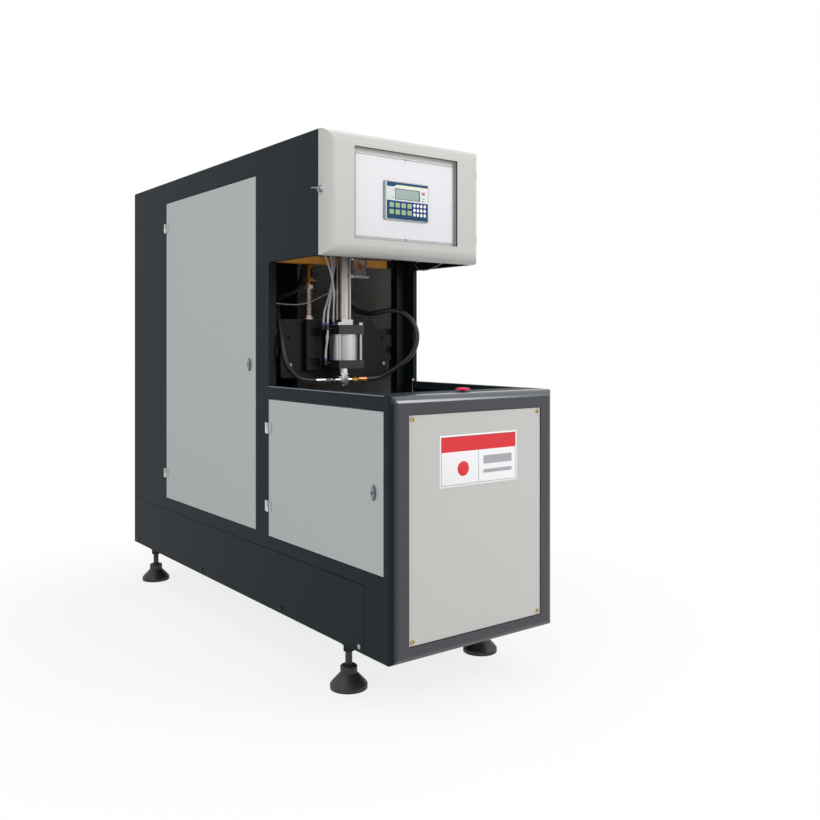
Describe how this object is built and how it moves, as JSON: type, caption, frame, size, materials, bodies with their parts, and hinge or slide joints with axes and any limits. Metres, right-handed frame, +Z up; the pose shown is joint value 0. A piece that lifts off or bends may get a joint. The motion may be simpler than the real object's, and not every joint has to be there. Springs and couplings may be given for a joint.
{
  "type": "stretch blow moulding machine",
  "caption": "Floor-standing stretch blow moulding machine: open clamp table in front, overhanging control box and blow head, tall body with side doors, levelling feet.",
  "frame": {"origin": "floor level, at the middle of the machine's overall box", "axes": "+Z up; the front panel and control box face -Y; +X is to the right as seen from the front"},
  "size_m": [0.753, 2.28, 1.91],
  "materials": {
    "air_inlet": "satin",
    "air_preparation": "matte",
    "air_receiver": "satin",
    "air_tubes": "satin",
    "base_cylinder": "polished",
    "base_lift": "satin",
    "blow_hose_left": "matte",
    "blow_hose_right": "matte",
    "blow_nozzle": "polished",
    "blow_valves": "polished",
    "box_door": "satin",
    "box_lock": "polished",
    "brass_fitting": "satin",
    "cap_screws": "satin",
    "clamp_cylinders": "polished",
    "cross_beam": "gloss",
    "electrical_plate": "satin",
    "end_plates": "satin",
    "foot_front_left": "matte",
    "foot_front_right": "matte",
    "foot_lock_nuts": "satin",
    "foot_rear_left": "matte",
    "foot_rear_right": "matte",
    "frame": "satin",
    "front_frame": "satin",
    "front_panel": "satin",
    "head_plate": "satin",
    "height_screw": "satin",
    "hinge_halves": "satin",
    "inlet_lever": "satin",
    "inset_plate": "satin",
    "low_cabinet": "satin",
    "low_door_left": "satin",
    "low_door_right": "satin",
    "low_latch_left": "polished",
    "low_latch_right": "polished",
    "main_switch_knob": "matte",
    "panel_screws": "satin",
    "platen_front": "satin",
    "platen_rear": "satin",
    "pressure_switch": "gloss",
    "push_elbows": "satin",
    "seal_barrel": "polished",
    "seal_covers": "matte",
    "seal_tie_rods": "satin",
    "service_panel": "satin",
    "skirt": "satin",
    "stop_button": "satin",
    "stop_collar": "matte",
    "stretch_cylinder": "polished",
    "stretch_rod": "polished",
    "sync_pinion": "satin",
    "tall_body": "satin",
    "tall_door_left": "satin",
    "tall_door_right": "satin",
    "tall_latch_left": "polished",
    "tall_latch_right": "polished",
    "text_display": "satin",
    "tie_bars": "polished",
    "valve_bank": "polished"
  },
  "bodies": {
    "machine": {"air_inlet": "air_inlet", "air_preparation": "air_preparation", "air_receiver": "air_receiver", "air_tubes": "air_tubes", "base_cylinder": "base_cylinder", "blow_hose_left": "blow_hose_left", "blow_hose_right": "blow_hose_right", "blow_valves": "blow_valves", "cap_screws": "cap_screws", "clamp_cylinders": "clamp_cylinders", "cross_beam": "cross_beam", "electrical_plate": "electrical_plate", "end_plates": "end_plates", "foot_lock_nuts": "foot_lock_nuts", "frame": "frame", "front_frame": "front_frame", "front_panel": "front_panel", "head_plate": "head_plate", "height_screw": "height_screw", "hinge_halves": "hinge_halves", "low_cabinet": "low_cabinet", "panel_screws": "panel_screws", "pressure_switch": "pressure_switch", "push_elbows": "push_elbows", "seal_barrel": "seal_barrel", "seal_covers": "seal_covers", "seal_tie_rods": "seal_tie_rods", "service_panel": "service_panel", "skirt": "skirt", "stop_collar": "stop_collar", "stretch_cylinder": "stretch_cylinder", "tall_body": "tall_body", "tie_bars": "tie_bars", "valve_bank": "valve_bank"},
    "tall_door_left": {"tall_door_left": "tall_door_left"},
    "tall_door_right": {"tall_door_right": "tall_door_right"},
    "low_door_left": {"low_door_left": "low_door_left"},
    "low_door_right": {"low_door_right": "low_door_right"},
    "tall_latch_left": {"tall_latch_left": "tall_latch_left"},
    "tall_latch_right": {"tall_latch_right": "tall_latch_right"},
    "low_latch_left": {"low_latch_left": "low_latch_left"},
    "low_latch_right": {"low_latch_right": "low_latch_right"},
    "control_box_door": {"box_door": "box_door", "inset_plate": "inset_plate", "text_display": "text_display"},
    "control_box_lock": {"box_lock": "box_lock"},
    "stop_button": {"stop_button": "stop_button"},
    "blow_nozzle": {"blow_nozzle": "blow_nozzle", "brass_fitting": "brass_fitting"},
    "stretch_rod": {"stretch_rod": "stretch_rod"},
    "platen_front": {"platen_front": "platen_front"},
    "platen_rear": {"platen_rear": "platen_rear"},
    "sync_pinion": {"sync_pinion": "sync_pinion"},
    "base_lift": {"base_lift": "base_lift"},
    "main_switch_knob": {"main_switch_knob": "main_switch_knob"},
    "inlet_lever": {"inlet_lever": "inlet_lever"},
    "foot_front_left": {"foot_front_left": "foot_front_left"},
    "foot_front_right": {"foot_front_right": "foot_front_right"},
    "foot_rear_left": {"foot_rear_left": "foot_rear_left"},
    "foot_rear_right": {"foot_rear_right": "foot_rear_right"}
  },
  "joints": [
    {"name": "tall_door_left_hinge", "type": "hinge", "parent": "machine", "child": "tall_door_left", "pos_m": [-0.3575, 0.6495, 1.13], "axis": [0, 0, -1], "range_deg": [0, 110]},
    {"name": "low_door_left_hinge", "type": "hinge", "parent": "machine", "child": "low_door_left", "pos_m": [-0.3575, -0.3455, 0.7], "axis": [0, 0, -1], "range_deg": [0, 110]},
    {"name": "tall_latch_left_turn", "type": "hinge", "parent": "tall_door_left", "child": "tall_latch_left", "pos_m": [-0.3525, -0.196, 1.083], "axis": [-1, 0, 0], "range_deg": [0, 90]},
    {"name": "low_latch_left_turn", "type": "hinge", "parent": "low_door_left", "child": "low_latch_left", "pos_m": [-0.3525, -1.044, 0.697], "axis": [-1, 0, 0], "range_deg": [0, 90]},
    {"name": "tall_door_right_hinge", "type": "hinge", "parent": "machine", "child": "tall_door_right", "pos_m": [0.3575, 0.6495, 1.13], "axis": [0, 0, 1], "range_deg": [0, 110]},
    {"name": "low_door_right_hinge", "type": "hinge", "parent": "machine", "child": "low_door_right", "pos_m": [0.3575, -0.3455, 0.7], "axis": [0, 0, 1], "range_deg": [0, 110]},
    {"name": "tall_latch_right_turn", "type": "hinge", "parent": "tall_door_right", "child": "tall_latch_right", "pos_m": [0.3525, -0.196, 1.083], "axis": [-1, 0, 0], "range_deg": [0, 90]},
    {"name": "low_latch_right_turn", "type": "hinge", "parent": "low_door_right", "child": "low_latch_right", "pos_m": [0.3525, -1.044, 0.697], "axis": [-1, 0, 0], "range_deg": [0, 90]},
    {"name": "control_box_hinge", "type": "hinge", "parent": "machine", "child": "control_box_door", "pos_m": [0.3575, -0.704, 1.69], "axis": [0, 0, 1], "range_deg": [0, 105]},
    {"name": "control_box_lock_turn", "type": "hinge", "parent": "control_box_door", "child": "control_box_lock", "pos_m": [-0.3525, -0.72, 1.699], "axis": [1, 0, 0], "range_deg": [0, 90]},
    {"name": "stop_button_press", "type": "slide", "parent": "machine", "child": "stop_button", "axis": [0, 0, -1], "range_m": [0, 0.004], "stiffness_N_per_m": 1500, "springref_m": -0.001},
    {"name": "seal_cylinder_stroke", "type": "slide", "parent": "machine", "child": "blow_nozzle", "axis": [0, 0, -1], "range_m": [0, 0.025]},
    {"name": "stretch_cylinder_stroke", "type": "slide", "parent": "machine", "child": "stretch_rod", "axis": [0, 0, -1], "range_m": [0, 0.33]},
    {"name": "clamp_stroke_front", "type": "slide", "parent": "machine", "child": "platen_front", "axis": [0, 1, 0], "range_m": [0, 0.06]},
    {"name": "clamp_stroke_rear", "type": "slide", "parent": "machine", "child": "platen_rear", "axis": [0, -1, 0], "range_m": [0, 0.06]},
    {"name": "sync_pinion_turn", "type": "hinge", "parent": "machine", "child": "sync_pinion", "pos_m": [0.14, -0.32, 0.486], "axis": [0, 0, -1], "range_deg": [0, 115]},
    {"name": "base_cylinder_stroke", "type": "slide", "parent": "machine", "child": "base_lift", "axis": [0, 0, 1], "range_m": [0, 0.04]},
    {"name": "main_switch_turn", "type": "hinge", "parent": "machine", "child": "main_switch_knob", "pos_m": [0.311, 1.06, 1.4], "axis": [0, 1, 0], "range_deg": [0, 90]},
    {"name": "inlet_valve_turn", "type": "hinge", "parent": "machine", "child": "inlet_lever", "pos_m": [0.311, 1.104, 0.65], "axis": [0, 0, -1], "range_deg": [0, 90]},
    {"name": "foot_front_left_adjust", "type": "slide", "parent": "machine", "child": "foot_front_left", "axis": [0, 0, 1], "range_m": [-0.02, 0.01]},
    {"name": "foot_front_right_adjust", "type": "slide", "parent": "machine", "child": "foot_front_right", "axis": [0, 0, 1], "range_m": [-0.02, 0.01]},
    {"name": "foot_rear_left_adjust", "type": "slide", "parent": "machine", "child": "foot_rear_left", "axis": [0, 0, 1], "range_m": [-0.02, 0.01]},
    {"name": "foot_rear_right_adjust", "type": "slide", "parent": "machine", "child": "foot_rear_right", "axis": [0, 0, 1], "range_m": [-0.02, 0.01]}
  ],
  "couplings": [
    {"joint": "clamp_stroke_rear", "follows": "clamp_stroke_front", "ratio": 1},
    {"joint": "sync_pinion_turn", "follows": "clamp_stroke_front", "rad_per_m": 33.333}
  ]
}
